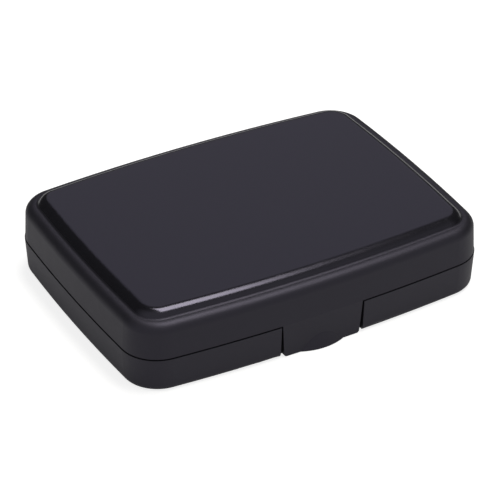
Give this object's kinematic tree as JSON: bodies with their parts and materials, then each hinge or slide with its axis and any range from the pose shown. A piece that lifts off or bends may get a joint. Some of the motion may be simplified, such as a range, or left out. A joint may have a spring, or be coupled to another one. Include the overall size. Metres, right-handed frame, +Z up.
{
  "type": "watercolor pan set",
  "caption": "Flat hinged case of half pans of watercolor with a brush, a sponge, a fold-out mixing leaf, a palette in the lid and a snap tab with a thumb lip.",
  "frame": {"origin": "middle of the underside of the case in plan, on the surface it lies on", "axes": "+X along the long side to the right as seen from the latch tab, -Y to the front with the latch tab, +Y to the hinge, +Z up, lid closed"},
  "size_m": [0.13, 0.1011, 0.0268],
  "materials": {
    "case_plastic": "satin black moulded polypropylene with a very fine texture",
    "pin_steel": "drawn steel wire",
    "tray_plastic": "white moulded plastic, satin",
    "palette_plastic": "white moulded plastic, glossy for mixing on",
    "pan_plastic": "thin white moulded plastic",
    "handle_lacquer": "turned wood under red lacquer",
    "ferrule_metal": "polished seamless ferrule",
    "brush_hair": "soft brown round tuft with a fine point",
    "sponge": "open-cell natural-coloured sponge",
    "paint_01": "lemon yellow water-colour cake, cast and dried",
    "paint_02": "warm yellow water-colour cake, cast and dried",
    "paint_03": "orange water-colour cake, cast and dried",
    "paint_04": "bright red water-colour cake, cast and dried",
    "paint_05": "rose crimson water-colour cake, cast and dried",
    "paint_06": "violet water-colour cake, cast and dried",
    "paint_07": "ultramarine blue water-colour cake, cast and dried",
    "paint_08": "greenish blue water-colour cake, cast and dried",
    "paint_09": "blue green water-colour cake, cast and dried",
    "paint_10": "sap green water-colour cake, cast and dried",
    "paint_11": "burnt earth brown water-colour cake, cast and dried",
    "paint_12": "black water-colour cake, cast and dried"
  },
  "bodies": {
    "base": {"base_shell": "case_plastic", "hinge_pin_left": "pin_steel", "hinge_pin_right": "pin_steel", "pan_tray": "tray_plastic", "mixing_tray": "tray_plastic", "leaf_pin": "pin_steel", "brush_handle": "handle_lacquer", "brush_ferrule": "ferrule_metal", "brush_hair": "brush_hair", "sponge": "sponge", "pan_01": "pan_plastic", "pan_02": "pan_plastic", "pan_03": "pan_plastic", "pan_04": "pan_plastic", "pan_05": "pan_plastic", "pan_06": "pan_plastic", "pan_07": "pan_plastic", "pan_08": "pan_plastic", "pan_09": "pan_plastic", "pan_10": "pan_plastic", "pan_11": "pan_plastic", "pan_12": "pan_plastic", "paint_01": "paint_01", "paint_02": "paint_02", "paint_03": "paint_03", "paint_04": "paint_04", "paint_05": "paint_05", "paint_06": "paint_06", "paint_07": "paint_07", "paint_08": "paint_08", "paint_09": "paint_09", "paint_10": "paint_10", "paint_11": "paint_11", "paint_12": "paint_12"},
    "lid": {"lid_shell": "case_plastic", "lid_palette": "palette_plastic"},
    "leaf": {"mixing_leaf": "palette_plastic"}
  },
  "joints": [
    {"name": "lid_hinge", "type": "hinge", "parent": "base", "child": "lid", "pos_m": [0, 0.0497, 0.0134], "axis": [-1, 0, 0], "range_deg": [0, 180]},
    {"name": "leaf_hinge", "type": "hinge", "parent": "base", "child": "leaf", "pos_m": [-0.0593, 0, 0.01455], "axis": [0, -1, 0], "range_deg": [0, 180]}
  ],
  "couplings": [
    {"joint": "leaf_hinge", "follows": "lid_hinge", "ratio": 1}
  ]
}
